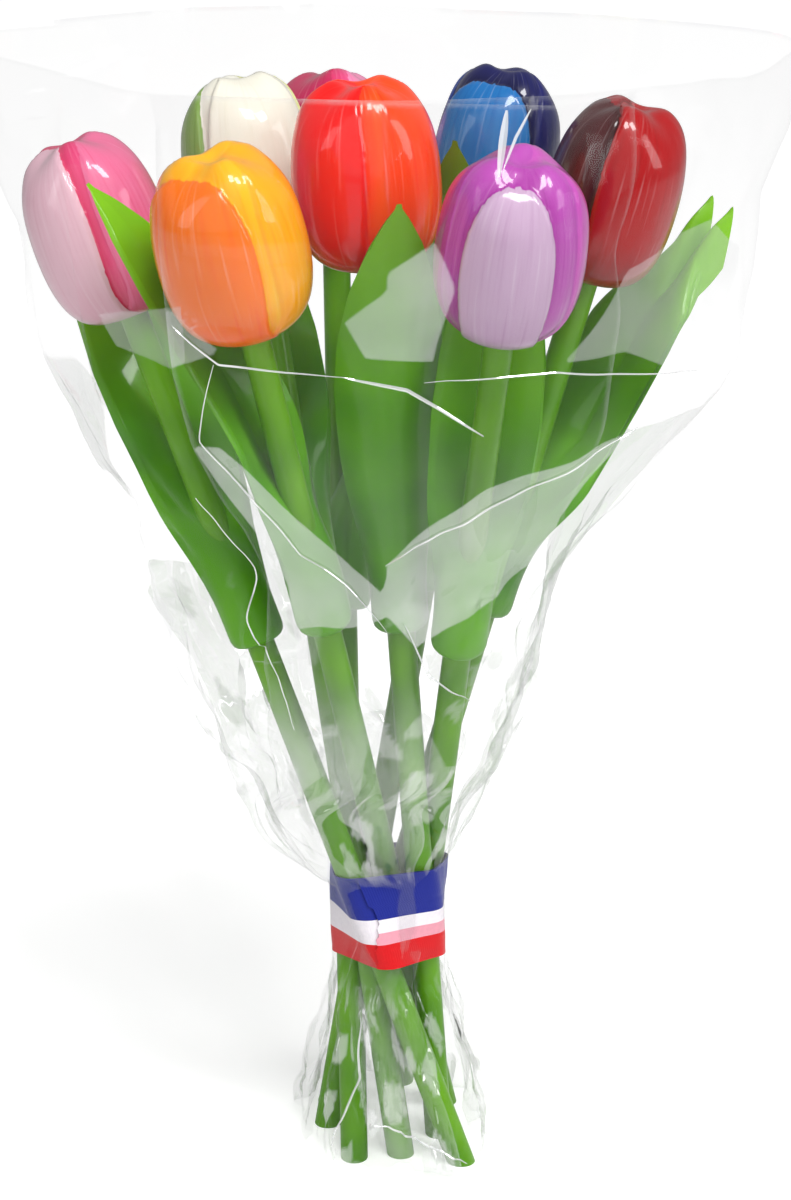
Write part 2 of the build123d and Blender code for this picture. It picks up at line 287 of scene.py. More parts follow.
def green_enamel(name, deep, plain, tip=None):
    """Green enamel on a dowel or a carved leaf: faint grain along the wood under a gloss coat, and painted
    light towards a leaf's tip.
    """
    made, tree, output = new_material(name)
    place = node(tree, "ShaderNodeTexCoord").outputs["Object"]
    # Grain lines about 1.5 mm apart, drawn out to 25 mm along the height.
    drawn_out = node(tree, "ShaderNodeMapping", {"Vector": place, "Scale": (650.0, 650.0, 40.0)})
    grain = node(tree, "ShaderNodeTexNoise", {
        "Vector": drawn_out, "Scale": 1.0, "Detail": 3.0}).outputs["Fac"]
    # Uneven spraying in patches of about 25 mm.
    cloud = node(tree, "ShaderNodeTexNoise", {"Vector": place, "Scale": 40.0, "Detail": 1.0}).outputs["Fac"]
    tone = node(tree, "ShaderNodeMapRange", {"Value": cloud, "From Min": 0.3, "From Max": 0.7})
    paint = node(tree, "ShaderNodeMixRGB", {"Fac": tone, "Color1": linear(deep), "Color2": linear(plain)})
    # Painted light: a lighter green towards the leaf's tip.
    if tip:
        rise = node(tree, "ShaderNodeAttribute", attribute_name="rise").outputs["Fac"]
        share = node(tree, "ShaderNodeMapRange", {"Value": rise, "From Min": 0.55, "From Max": 1.0})
        paint = node(tree, "ShaderNodeMixRGB", {"Fac": share, "Color1": paint, "Color2": linear(tip)})
    lines = node(tree, "ShaderNodeMapRange", {
        "Value": grain, "From Min": 0.55, "From Max": 0.8, "To Max": 0.22})
    paint = node(tree, "ShaderNodeMixRGB", {"Fac": lines, "Color1": paint, "Color2": linear(deep)})
    bump = node(tree, "ShaderNodeBump", {"Height": grain, "Strength": 0.06, "Distance": 0.0002})
    rough = node(tree, "ShaderNodeMapRange", {"Value": grain, "To Min": 0.26, "To Max": 0.40})
    shader = node(tree, "ShaderNodeBsdfPrincipled", {
        "Base Color": paint, "Roughness": rough, "Specular IOR Level": 0.16, "Coat Weight": 0.3,
        "Coat Roughness": 0.06, "Normal": bump})
    tree.links.new(shader.outputs["BSDF"], output.inputs["Surface"])
    return made


def striped_satin():
    """Woven polyester ribbon: three stripes along it, fine ribs across it, a soft sheen."""
    made, tree, output = new_material("striped_satin_ribbon")
    value = {key: node(tree, "ShaderNodeAttribute", attribute_name=key).outputs["Fac"]
             for key in ("across", "along", "lapped")}
    layers = []
    for bands in (STRIPES, LAPPED_STRIPES):
        stripes = node(tree, "ShaderNodeValToRGB", {"Fac": value["across"]})
        stripes.color_ramp.interpolation = "CONSTANT"
        stops = stripes.color_ramp.elements
        for start, colour in bands[1:-1]:
            stops.new(start).color = linear(colour)
        stops[0].color = linear(bands[0][1])
        stops[-1].position = bands[-1][0]
        stops[-1].color = linear(bands[-1][1])
        layers.append(stripes)
    cloth = node(tree, "ShaderNodeMixRGB", {
        "Fac": value["lapped"], "Color1": layers[0], "Color2": layers[1]})
    # Ribs 0.8 mm apart, coarser than the real 0.3 mm so that they show.
    turns = node(tree, "ShaderNodeMath", {0: value["along"], 1: 2 * pi / 0.8}, operation="MULTIPLY")
    ribs = node(tree, "ShaderNodeMath", {0: turns}, operation="SINE")
    # Threads about 1 mm long.
    place = node(tree, "ShaderNodeTexCoord").outputs["Object"]
    weave = node(tree, "ShaderNodeTexNoise", {"Vector": place, "Scale": 900.0, "Detail": 2.0}).outputs["Fac"]
    tone = node(tree, "ShaderNodeMapRange", {"Value": weave, "To Min": 0.0, "To Max": 0.22})
    paint = node(tree, "ShaderNodeMixRGB", {"Fac": tone, "Color1": cloth, "Color2": linear("#8A86A8")},
                 blend_type="MULTIPLY")
    bump = node(tree, "ShaderNodeBump", {"Height": ribs, "Strength": 0.12, "Distance": 0.0001})
    rough = node(tree, "ShaderNodeMapRange", {"Value": weave, "To Min": 0.32, "To Max": 0.5})
    shader = node(tree, "ShaderNodeBsdfPrincipled", {
        "Base Color": paint, "Roughness": rough, "Sheen Weight": 0.06, "Specular IOR Level": 0.25,
        "Normal": bump})
    tree.links.new(shader.outputs["BSDF"], output.inputs["Surface"])
    return made


def clear_cellophane():
    """Thin clear film: see-through, with painted reflections on whole facets and a sharp shine aslant."""
    made, tree, output = new_material("clear_cellophane")
    facing = node(tree, "ShaderNodeLayerWeight", {"Blend": 0.5}).outputs["Facing"]
    steep = node(tree, "ShaderNodeMath", {0: facing, 1: 4.5}, operation="POWER")
    aslant = node(tree, "ShaderNodeMapRange", {"Value": steep, "To Min": 0.006, "To Max": 0.16})
    # Painted bright facets end over half a millimetre, at their straight edges.
    value = {key: node(tree, "ShaderNodeAttribute", attribute_name=key).outputs["Fac"]
             for key in ("painted_reflection", "facet_edge", "facet_level")}
    facet = node(tree, "ShaderNodeMapRange", {
        "Value": value["facet_edge"], "From Min": -0.3, "From Max": 0.3})
    painted_reflection = node(tree, "ShaderNodeMath", {0: facet, 1: value["facet_level"], 2: value["painted_reflection"]},
                operation="MULTIPLY_ADD")
    # Noise in patches of about 20 mm makes the painted reflection uneven.
    place = node(tree, "ShaderNodeTexCoord").outputs["Object"]
    cloud = node(tree, "ShaderNodeTexNoise", {"Vector": place, "Scale": 50.0, "Detail": 4.0}).outputs["Fac"]
    uneven_reflection = node(tree, "ShaderNodeMapRange", {
        "Value": cloud, "From Min": 0.35, "From Max": 0.75, "To Min": 0.8, "To Max": 1.2})
    mirror = node(tree, "ShaderNodeMath", {0: painted_reflection, 1: uneven_reflection, 2: aslant},
                  operation="MULTIPLY_ADD", use_clamp=True)
    clear = node(tree, "ShaderNodeBsdfTransparent", {"Color": linear("#FBFBFB")})
    shine = node(tree, "ShaderNodeBsdfGlossy", {"Color": linear("#FFFFFF"), "Roughness": 0.06})
    film = node(tree, "ShaderNodeMixShader", {0: mirror, 1: clear, 2: shine})
    # The white diffuse share is painted reflection, standing in for the reflected soft light.
    white_reflection = node(tree, "ShaderNodeBsdfDiffuse", {"Color": linear("#F4F6F6"), "Roughness": 0.3})
    white_reflection_share = node(tree, "ShaderNodeMath", {0: painted_reflection, 1: 0.65}, operation="MULTIPLY")
    surface = node(tree, "ShaderNodeMixShader", {0: white_reflection_share, 1: film, 2: white_reflection})
    tree.links.new(surface.outputs["Shader"], output.inputs["Surface"])
    return made


# Heads

# Side petals: azimuth from the front petal's, and tip height. Both have one half width.
SIDE_PETALS = ((122.0, 54.0), (-118.0, 53.0))
SIDE_PETAL_HALF_WIDTH = 21.5


def egg_radius(radius, height):
    """Radius of a head's outer petals at heights above its foot."""
    low = bezier([(HEAD_FOOT, 0), (0.80 * radius, 0), (radius, 8.4), (radius, HEAD_WAIST)])
    high = bezier([(radius, HEAD_WAIST), (radius, 46.5), (0.70 * radius, HEAD_HEIGHT), (0, HEAD_HEIGHT)])
    curve = np.concatenate([low, high[1:]])
    return np.interp(height, curve[:, 1], curve[:, 0])


def petal_edge(sideways, height, half, tip):
    """How far each point lies inside a tongue-shaped petal's edge, less than 0 outside it."""
    rise = np.linspace(-8, tip, 90)
    share = np.clip(rise / tip, 0, 1)
    # It widens to half of its height and is rounded off above that.
    lower = 0.74 + 0.26 * np.sin(np.minimum(share / 0.5, 1) * pi / 2)
    upper = np.clip(1 - (np.maximum(share - 0.5, 0) / 0.5) ** 2.3, 0, 1) ** 0.5
    width = half * np.minimum(lower, upper)
    near = np.full(len(height), 1e9)
    for w, r in zip(width, rise):
        near = np.minimum(near, np.hypot(np.abs(sideways) - w, height - r))
    inside = (np.abs(sideways) < np.interp(height, rise, width, right=0)) & (height < tip)
    return np.where(inside, near, -near)


def carve_head(name):
    """A carved head: a front petal over two side petals, over the inner petals with their wavy tips."""
    diameter, front, half, tip = HEADS[name]
    foot, axis = STEMS[name]
    head = new_primitive(bpy.ops.mesh.primitive_uv_sphere_add, f"{name}_petals", segments=144, ring_count=90)
    ball = read_points(head.data)
    turn = np.degrees(np.arctan2(ball[:, 1], ball[:, 0]))
    height = (ball[:, 2] + 1) / 2 * HEAD_HEIGHT
    radius = egg_radius(diameter / 2, height)

    def sideways(azimuth):
        return np.radians((turn - azimuth + 180) % 360 - 180) * np.maximum(radius, 4)

    front_edge = petal_edge(sideways(front), height, half, tip)
    side_edge = np.maximum.reduce([
        petal_edge(sideways(front + azimuth), height, SIDE_PETAL_HALF_WIDTH, side_tip)
        for azimuth, side_tip in SIDE_PETALS])
    # Inner petals lie deepest, side petals about half as deep, and each petal swells to its middle.
    relief = -INNER_PETAL_DEPTH + SIDE_PETAL_STEP * ease(side_edge, -0.2, 1.0)
    relief = relief + PETAL_SWELL * ease(side_edge, 0, 8)
    over = PETAL_SWELL * ease(front_edge, 0, 9)
    relief = relief + (over - relief) * ease(front_edge, -0.3, 0.9)
    # Three lobes wave the top, which dips in its middle.
    lobes = np.cos(np.radians(3 * (turn - front - 60)))
    top = ease(height, 0.70 * HEAD_HEIGHT, 0.97 * HEAD_HEIGHT)
    spread = np.maximum(radius * (1 + 0.05 * top * lobes) + relief * ease(radius, 2, 12), 0)
    spread[ball[:, 2] < -0.9999] = 0
    dip = CROWN_DIP * np.exp(-(radius / 4.5) ** 2) * (height > HEAD_WAIST)
    rise = height + top * (LOBE_RISE * lobes * ease(radius, 3, 10)) - dip
    u, v = around(axis, 0), np.cross(axis, around(axis, 0))
    circle = np.outer(np.cos(np.radians(turn)), u) + np.outer(np.sin(np.radians(turn)), v)
    write_points(head.data, foot + np.outer(HEAD_START + rise, axis) + circle * spread[:, None])
    write_values(head.data, "front_edge", front_edge)
    write_values(head.data, "side_edge", side_edge)
    write_values(head.data, "side_pick", np.sin(np.radians(turn - front)) * radius)
    write_values(head.data, "rise", height / HEAD_HEIGHT)
    bpy.ops.object.shade_smooth()
    return head


# Leaves

# Blade's middle line: distance out from the stem and height.
BLADE = bezier([(COLLAR_RADIUS, 15.0), (COLLAR_RADIUS, 0.45 * LEAF_LENGTH), (20.0, 0.75 * LEAF_LENGTH),
                (44.0, LEAF_LENGTH)])
# Blade's width as a share of its widest, against the share of its length.
OUTLINE = np.array([(0, 0.55), (0.12, 0.66), (0.25, 0.79), (0.40, 0.93), (0.56, 1.0), (0.68, 0.96),
                    (0.80, 0.78), (0.90, 0.48), (0.96, 0.22), (1, 0.0)])
# Thickness of the blade's middle, against the share of its length.
MIDDLE = np.array([(0.22, 4.6), (0.75, 3.4), (1.0, 1.8)])
# Rounded foot of the collar: radius and height.
COLLAR = np.array([(4.2, 0.9), (5.2, 0.3), (6.3, 0.1), (7.2, 0.5), (8.0, 1.4), (8.4, 2.8), (8.5, 4.5)])
# Steps once round a leaf's section, rows from foot to tip, and how many of them are the collar's foot.
LEAF_ROUND, LEAF_ROWS, COLLAR_ROWS = 56, 86, len(COLLAR) - 1


def carve_leaf(name):
    """A carved leaf: a rounded collar that runs out into a blade, round outside and cut to a V inside."""
    start, azimuth, length, tip_half, half_width, swell = LEAVES[name]
    foot, axis = STEMS[name]
    leaf, _, row = new_grid(f"{name}_leaf", LEAF_ROUND, LEAF_ROWS)
    foot_rows = range(COLLAR_ROWS + 1)
    height = np.where(row < COLLAR_ROWS, np.interp(row, foot_rows, COLLAR[:, 1]),
                      np.interp(row, [COLLAR_ROWS, LEAF_ROWS], [COLLAR[-1, 1], length]))
    ring = np.where(row < COLLAR_ROWS, np.interp(row, foot_rows, COLLAR[:, 0]), COLLAR_RADIUS)
    # Each row of the grid runs across the leaf's outside and back across its inside.
    loop = (read_points(leaf.data)[:, 0] + 1) / 2
    outer = loop <= 0.5
    side = np.where(outer, loop * 4 - 1, 3 - loop * 4)
    # The collar, right round the stem
    angle = np.where(outer, side * pi / 2, pi - side * pi / 2)
    collar_out, collar_side = ring * np.cos(angle), ring * np.sin(angle)
    # The blade
    rise = height / length
    reach = np.interp(rise * LEAF_LENGTH, BLADE[:, 1], BLADE[:, 0]) + swell * np.sin(pi * rise)
    width = np.maximum(half_width * np.interp(rise, OUTLINE[:, 0], OUTLINE[:, 1]), tip_half)
    bend = np.maximum(reach, LEAF_LEAST_BEND)
    blade_side = side * width
    outside = reach - blade_side**2 / (2 * bend)
    edge = reach - width**2 / (2 * bend)
    middle = reach - np.interp(rise, *MIDDLE.T)
    inside = (edge - LEAF_EDGE_THICKNESS) + (middle - edge + LEAF_EDGE_THICKNESS) * (1 - np.abs(side))
    inside = np.minimum(inside, outside - LEAF_LEAST_THICKNESS)
    # The inside meets the outside at the tip, which a broad leaf splits in two.
    closing = ease(rise, 0.94, 1.0)
    blade_out = np.where(outer, outside, inside + (outside - inside) * closing)
    blade_side = np.where(outer, blade_side, blade_side * (0.96 + 0.04 * closing))
    split = 1.8 * tip_half * np.abs(2 * np.abs(side) - 1) ** 1.7
    notch = split * ease(rise, 0.70, 1.0) * (tip_half > 1)
    mix = np.where(outer, ease(height, 6, 48), ease(height, 16, 62))
    out = collar_out + (blade_out - collar_out) * mix
    across = collar_side + (blade_side - collar_side) * mix
    outward = around(axis, azimuth)
    level = np.outer(out, outward) + np.outer(across, np.cross(axis, outward))
    write_points(leaf.data, foot + np.outer(start + height - notch, axis) + level)
    write_values(leaf.data, "rise", rise)
    close_up()
    bpy.ops.object.shade_smooth_by_angle(angle=radians(50))
    return leaf


# Wrap

ROUND = np.linspace(0, 2 * pi, 1441)[:-1]


def wrapped_curve(points, slack, count, start):
    """A tight level curve round points, moved out by a slack, read off evenly from a start azimuth."""
    normals = np.stack([np.cos(ROUND), np.sin(ROUND)], 1)
    most = (points @ normals.T).argmax(0)
    curve = points[most] + normals * np.broadcast_to(slack, len(ROUND))[:, None]
    middle = (curve.min(0) + curve.max(0)) / 2
    facing = (curve - middle) @ np.array([cos(start), sin(start)])
    first = np.argmax(facing / np.linalg.norm(curve - middle, axis=1))
    curve = np.roll(curve, -first, axis=0)
    curve = np.concatenate([curve, curve[:1]])
    length = np.concatenate([[0], np.cumsum(np.linalg.norm(np.diff(curve, axis=0), axis=1))])
    along = np.linspace(0, length[-1], count + 1)[:-1]
    return np.stack([np.interp(along, length, curve[:, k]) for k in (0, 1)], 1), length[-1]


def level_outward(curves):
    """Level unit vectors that point out of stacked closed curves."""
    run = np.roll(curves, -1, 1) - np.roll(curves, 1, 1)
    out = np.stack([run[..., 1], -run[..., 0]], -1)
    return out / np.linalg.norm(out, axis=2, keepdims=True)


def stem_circles(height):
    """Points round the stems at a height, a little outside their surfaces."""
    angles = np.linspace(0, 2 * pi, 25)[:-1]
    ring = np.stack([np.cos(angles), np.sin(angles)], 1) * STEM_RADIUS * 1.03
    return np.concatenate([(foot + axis / axis[2] * height)[:2] + ring for foot, axis in STEMS.values()])


# Rows across the ribbon, columns once round the neck, and columns of its lap.
RIBBON_ROWS, RIBBON_TURN, RIBBON_LAP = 24, 240, 62


def wind_ribbon():
    """A flat ribbon pulled tight once round the neck, with its free end lapped over the front."""
    ribbon, column, row = new_grid("striped_ribbon", RIBBON_TURN + RIBBON_LAP, RIBBON_ROWS)
    levels = [wrapped_curve(stem_circles(z), RIBBON_SLACK, RIBBON_TURN, radians(RIBBON_START))
              for z in np.linspace(RIBBON_BOTTOM, RIBBON_TOP, RIBBON_ROWS + 1)]
    curves = np.stack([curve for curve, length in levels])
    length = np.mean([length for curve, length in levels])
    curves = (np.roll(curves, 1, 1) + 2 * curves + np.roll(curves, -1, 1)) / 4
    # The lapped end lies over the turn below it, and the cloth bulges a little between its edges.
    lift = 0.55 * ease(RIBBON_LAP + 18.0 - column, 0.0, 18.0)
    edge = np.minimum(row, RIBBON_ROWS - row) / RIBBON_ROWS
    puff = lift + 0.35 * ease(edge, 0.0, 0.25) + 0.12 * np.sin(column / 7.0 + row / 9.0)
    place = row, column % RIBBON_TURN
    spot = curves[place] + level_outward(curves)[place] * puff[:, None]
    # It sits a little higher at the front.
    tilt = 0.5 * np.sin(column / 38.0) - 0.14 * (spot[:, 1] + 9.0)
    height = RIBBON_BOTTOM + (RIBBON_TOP - RIBBON_BOTTOM) * row / RIBBON_ROWS + tilt
    write_points(ribbon.data, np.column_stack([spot, height]))
    write_values(ribbon.data, "across", row / RIBBON_ROWS)
    write_values(ribbon.data, "along", column / RIBBON_TURN * length)
    write_values(ribbon.data, "lapped", (column < RIBBON_LAP).astype(float))
    cloth = ribbon.modifiers.new("cloth", "SOLIDIFY")
    cloth.thickness, cloth.offset = 0.00025, 0.0
    bpy.ops.object.modifier_apply(modifier="cloth")
    bpy.ops.object.shade_smooth_by_angle(angle=radians(40))
    return ribbon, length * (RIBBON_TURN + RIBBON_LAP) / RIBBON_TURN


# Columns once round the film, columns of its lap, and rows from its hem to its rim.
FILM_TURN, FILM_LAP, FILM_ROWS = 260, 52, 210

# Heights between which the CAD film is whole, and how far the film may be drawn from it to either side.
CAD_FILM_LOW, CAD_FILM_HIGH = 3.0, 334.0
FILM_DRAWN = 7.0

# Half widths of the wrapped film to the left and the right of the tie, against height.
FILM_LEFT = np.array([(0, 28), (57, 17), (91, 18), (96, 27), (110, 42), (140, 55), (174, 67), (210, 75),
                      (225, 91), (247, 104), (263, 108), (318, 115), (350, 118)], float)
FILM_RIGHT = np.array([(0, 32), (57, 18), (91, 18), (96, 20), (110, 24), (119, 30), (145, 40), (170, 46),
                       (191, 54), (215, 75), (247, 99), (286, 111), (323, 120), (350, 122)], float)

# Depths against height: pleats that fan out from the ribbon, lift of the lap, fine, broad and tiny crumple.
PLEATS = np.array([(0, 3.4), (45, 2.2), (58, 0.1), (91, 0.1), (104, 2.6), (130, 3.4), (180, 2.8), (230, 1.4),
                   (300, 0.7), (344, 0.5)])
LAP_LIFT = np.array([(50, 2.0), (58, 0.15), (91, 0.15), (120, 2.0), (344, 3.0)])
FINE = np.array([(0, 3.4), (50, 2.0), (58, 0.0), (91, 0.0), (100, 2.2), (140, 4.4), (200, 4.0), (250, 2.0),
                 (344, 1.0)])
BROAD = np.array([(0, 0), (58, 0), (100, 0), (150, 4.0), (220, 7.0), (300, 7.0), (344, 4.0)])
TINY = np.array([(0, 3.2), (50, 2.4), (58, 0.0), (91, 0.0), (100, 1.8), (140, 2.2), (200, 1.6), (250, 0.6),
                 (344, 0.3)])
# Crumple: spacing of its facets, seed and depth.
CRUMPLE = ((22.0, 5, FINE), (70.0, 11, BROAD), (11.0, 17, TINY))

# Share of the way round where the front ends, and the heights where its scattered facets fade and end.
FRONT_END = 0.31
FACETS_FADE, FACETS_END = 120.0, 176.0
# Strength against height of the painted reflection on the scattered facets and of the painted glints on the
# small flecks.
FACET_LEVEL = np.array([(0, 0.08), (58, 0.02), (91, 0.02), (110, 0.14), (160, 0.22), (235, 0.20),
                        (262, 0.02), (300, 0.006), (344, 0.006)])
FLECK_LEVEL = np.array([(0, 0.26), (50, 0.2), (60, 0), (91, 0), (100, 0.22), (160, 0.13), (210, 0.0)])
NO_FACET = -99.0

# Facets of the film's front with painted reflections of the soft light: strength, then share of the way
# round and height.
BRIGHT_FACETS = [
    (0.19, [(0.073, 287), (0.088, 296), (0.088, 301), (0.104, 309), (0.112, 296), (0.108, 275),
            (0.081, 277)]),
    (0.14, [(0.162, 273), (0.192, 273), (0.254, 257), (0.304, 291), (0.269, 303), (0.185, 297)]),
    (0.24, [(0.081, 212), (0.138, 234), (0.208, 247), (0.188, 212), (0.165, 196), (0.115, 181),
            (0.077, 197)]),
    (0.24, [(0.0, 249), (0.015, 249), (0.062, 210), (0.092, 194), (0.062, 190), (0.023, 188),
            (0.010, 227)]),
    (0.14, [(-0.054, 279), (0.004, 288), (0.023, 278), (-0.012, 269), (-0.046, 271)]),
    (0.55, [(0.019, 227), (0.030, 234), (0.035, 229), (0.040, 219), (0.027, 218), (0.024, 224)]),
    (0.014, [(-0.015, 307), (0.031, 306), (0.058, 308), (0.058, 298), (0.038, 285), (0.015, 285)]),
]


def outline_edge(across, height, outline):
    """How far each place lies inside a closed outline of straight edges, less than 0 outside it."""
    inside, near = np.zeros(across.shape, bool), np.full(across.shape, 1e9)
    for (x, z), (next_x, next_z) in zip(outline, np.roll(outline, -1, axis=0)):
        spans = (z > height) != (next_z > height)
        inside ^= spans & (across < x + (height - z) * (next_x - x) / (next_z - z + 1e-9))
        run = np.array([next_x - x, next_z - z])
        part = np.clip(((across - x) * run[0] + (height - z) * run[1]) / run.dot(run), 0, 1)
        near = np.minimum(near, np.hypot(across - x - part * run[0], height - z - part * run[1]))
    return np.where(inside, near, -near)


def film_section(height):
    """Points of the CAD film at a height."""
    mesh = frame["nodes"]["film_sleeve"].data
    ends = np.empty(len(mesh.edges) * 2, int)
    mesh.edges.foreach_get("vertices", ends)
    places = read_points(mesh) * 1000
    low, high = places[ends[0::2]], places[ends[1::2]]
    crossing = (low[:, 2] - height) * (high[:, 2] - height) < 0
    low, high = low[crossing], high[crossing]
    share = (height - low[:, 2]) / (high[:, 2] - low[:, 2])
    return (low + (high - low) * share[:, None])[:, :2]


def scatter_spots(along, height, spacing, seed, share=1.0):
    """Distances from each place to the nearest of a share of scattered spots, and of the other spots."""
    scatter = np.random.default_rng(seed)
    low, high = (along.min(), height.min()), (along.max(), height.max())
    spots = scatter.uniform(low, high, (int((high[0] - low[0]) * (high[1] - low[1]) / spacing**2), 2))
    near, far = np.full(along.shape, 1e9), np.full(along.shape, 1e9)
    for index, (x, z) in enumerate(spots):
        square = (along - x) ** 2 + (height - z) ** 2
        if index < share * len(spots):
            near = np.minimum(near, square)
        else:
            far = np.minimum(far, square)
    return np.sqrt(near), np.sqrt(far)


def crease(along, height, spacing, seed):
    """Facets with sharp folds between them, from about -0.5 to 0.5."""
    return 0.5 - scatter_spots(along, height, spacing, seed)[0] / spacing


def saw(phase):
    """Pleats with sharp folds, from -1 to 1."""
    return 4 * np.abs(phase - np.floor(phase + 0.5)) - 1


def film_curves():
    """Heights and level curves of the film: the CAD film's, drawn towards the half widths in the tables."""
    levels = np.linspace(SKIRT_BOTTOM, RIM_HEIGHT, FILM_ROWS + 1)
    to_left, to_right = np.maximum(-np.cos(ROUND), 0) ** 2, np.maximum(np.cos(ROUND), 0) ** 2
    curves = []
    for z in levels:
        section = film_section(min(max(z, CAD_FILM_LOW), CAD_FILM_HIGH))
        more_left = np.interp(z, *FILM_LEFT.T) - (TIE[0] - section[:, 0].min())
        more_right = np.interp(z, *FILM_RIGHT.T) - (section[:, 0].max() - TIE[0])
        more_left, more_right = np.clip((more_left, more_right), -FILM_DRAWN, FILM_DRAWN)
        slack = more_left * to_left + more_right * to_right
        curves.append(wrapped_curve(section, slack, FILM_TURN, radians(FILM_START))[0])
    curves = np.stack(curves)
    # Away from the tie the curves are evened out.
    loose = ease(np.abs(levels - TIE_HEIGHT), 16.0, 30.0)[:, None, None]
    for _ in range(8):
        even = curves.copy()
        even[1:-1] = (curves[:-2] + 2 * curves[1:-1] + curves[2:]) / 4
        even = (np.roll(even, 1, 1) + 2 * even + np.roll(even, -1, 1)) / 4
        curves += (even - curves) * loose
    return levels, curves


def film_relief(share, z):
    """How far the film's pleats and crumple stand out."""
    along = share * FILM_GIRTH
    # Pleats of three widths, which drift sideways as they rise.
    drift = 0.9 * np.sin(z / 47.0 + 5 * share) + 0.4 * np.sin(z / 19.0 + 17 * share)
    pleats = 0.5 * saw(13 * share + 0.5 * drift) + 0.3 * saw(23 * share - 0.6 * drift + 0.3)
    pleats = pleats + 0.2 * saw(37 * share + drift)
    relief = np.interp(z, *PLEATS.T) * pleats
    for spacing, seed, depth in CRUMPLE:
        relief = relief + np.interp(z, *depth.T) * crease(along, z, spacing, seed)
    return relief


# How far the tulips are drawn up along their slides, from rest to the limit, where the film is kept clear.
DRAWN_UP = (0, 28, 57, 85)


def push_clear(spot, side, row, levels, contents):
    """Moves the film out where the tulips, at rest or drawn up, come nearer than its clearance."""
    angles = np.linspace(0, 2 * pi, 121)[:-1]
    normals = np.stack([np.cos(angles), np.sin(angles)])
    places = np.concatenate([
        read_points(piece.data)[::3] * 1000 + STEMS[name][1] * drawn
        for name, pieces in contents.items() for piece in pieces for drawn in DRAWN_UP])
    for index, level in enumerate(levels):
        if RIBBON_BOTTOM < level < RIBBON_TOP:
            continue
        window = 5.0 if level > RIBBON_TOP + 15 else 1.0
        inside = np.concatenate([places[np.abs(places[:, 2] - level) < window][:, :2], stem_circles(level)])
        here = row == index
        gap = (spot[here] @ normals - (inside @ normals).max(0)).max(1)
        spot[here] += side[here] * np.maximum(FILM_CLEARANCE - gap, 0)[:, None]


def film_shine(film, share, z, lapped, border):
    """Painted reflections: whole facets get a milky white veil for the soft light, and flecks of the
    crumpled parts get painted glints.
    """
    along = share * FILM_GIRTH
    near, far = scatter_spots(along, z, 46.0, 31, share=0.45)
    facet_edge = (far - near) / 2
    facet_level = np.interp(z, *FACET_LEVEL.T)
    # The upper front has only the facets that are listed for it.
    shown = np.where(share > 0.9, share - 1, share)
    front = shown < FRONT_END
    facet_level = np.where(front, facet_level * (1 - ease(z, FACETS_FADE, FACETS_END)), facet_level)
    facet_edge[front & (z > FACETS_END)] = NO_FACET
    for strength, outline in BRIGHT_FACETS:
        edge = outline_edge(shown * FILM_GIRTH, z, np.array(outline) * (FILM_GIRTH, 1.0))
        edge = np.where(share <= 1, edge, NO_FACET)
        facet_level = np.where(edge > facet_edge, strength, facet_level)
        facet_edge = np.maximum(edge, facet_edge)
    write_values(film.data, "facet_edge", facet_edge)
    write_values(film.data, "facet_level", facet_level)
    near, far = scatter_spots(along, z, 9.0, 41, share=0.14)
    # Painted reflection on the lapped part, painted glints on the flecks, and a faint painted glint along
    # the cut edges.
    painted_reflection = 0.002 + 0.02 * lapped * ease(z, 90, 120) * (1 - ease(z, 235, 262))
    painted_reflection += np.interp(z, *FLECK_LEVEL.T) * (near < far)
    write_values(film.data, "painted_reflection", np.where(border, 0.09, painted_reflection))


def wrap_film(contents):
    """The clear sheet: wrapped round the bunch with a lap, drawn in at the ribbon, open at rim and skirt."""
    film, column, row = new_grid("clear_film", FILM_TURN + FILM_LAP, FILM_ROWS)
    levels, curves = film_curves()
    z = levels[row]
    share = column / FILM_TURN
    lapped = ease(FILM_LAP + 40.0 - column, 0.0, 40.0)
    place = row, column % FILM_TURN
    side = level_outward(curves)[place]
    depth = film_relief(share, z) + lapped * np.interp(z, *LAP_LIFT.T)
    spot = curves[place] + side * depth[:, None]
    push_clear(spot, side, row, levels, contents)
    # The rim slopes down to the back and is cut a little unevenly, and the hem is crumpled up.
    top = ease(z, 200.0, RIM_HEIGHT)
    cut = 1.5 * np.sin(share * 9.0) - 6.0 * np.exp(-((share - 0.30) / 0.06) ** 2)
    height = z + top * (-0.05 * spot[:, 1] + cut)
    height += (1 - ease(z, 10.0, 56.0)) * np.maximum(4.0 * crease(share * FILM_GIRTH, z, 30.0, 23), 0)
    write_points(film.data, np.column_stack([spot, height]))
    border = (row == 0) | (row == FILM_ROWS) | (column == 0) | (column == FILM_TURN + FILM_LAP)
    film_shine(film, share, z, lapped, border)
    bpy.ops.object.shade_smooth_by_angle(angle=radians(24))
    return film


# Sharp folds in the film, white from painted reflection: half width, then share of the way round and height
# along each.
FOLDS = [
    (0.32, [(0.004, 287), (0.022, 277), (0.072, 275)]),
    (0.55, [(0.072, 275), (0.098, 270), (0.132, 254)]),
    (0.35, [(0.080, 212), (0.130, 224), (0.175, 238), (0.212, 249)]),
    (0.28, [(0.105, 272), (0.160, 273), (0.258, 259)]),
    (0.32, [(0.020, 277), (0.006, 252), (0.020, 235), (0.035, 215), (0.088, 188)]),
    (1.10, [(0.134, 347), (0.132, 339), (0.130, 330)]),
    (0.45, [(0.143, 347), (0.137, 340), (0.132, 332)]),
    (0.30, [(-0.020, 230), (-0.010, 190), (0.030, 152)]),
    (0.30, [(0.100, 190), (0.130, 172), (0.180, 160)]),
    (0.45, [(0.075, 19), (0.150, 13), (0.208, 4)]),
    (0.40, [(0.060, 50), (0.050, 30), (0.010, 8)]),
]
FOLD_STEPS = 60


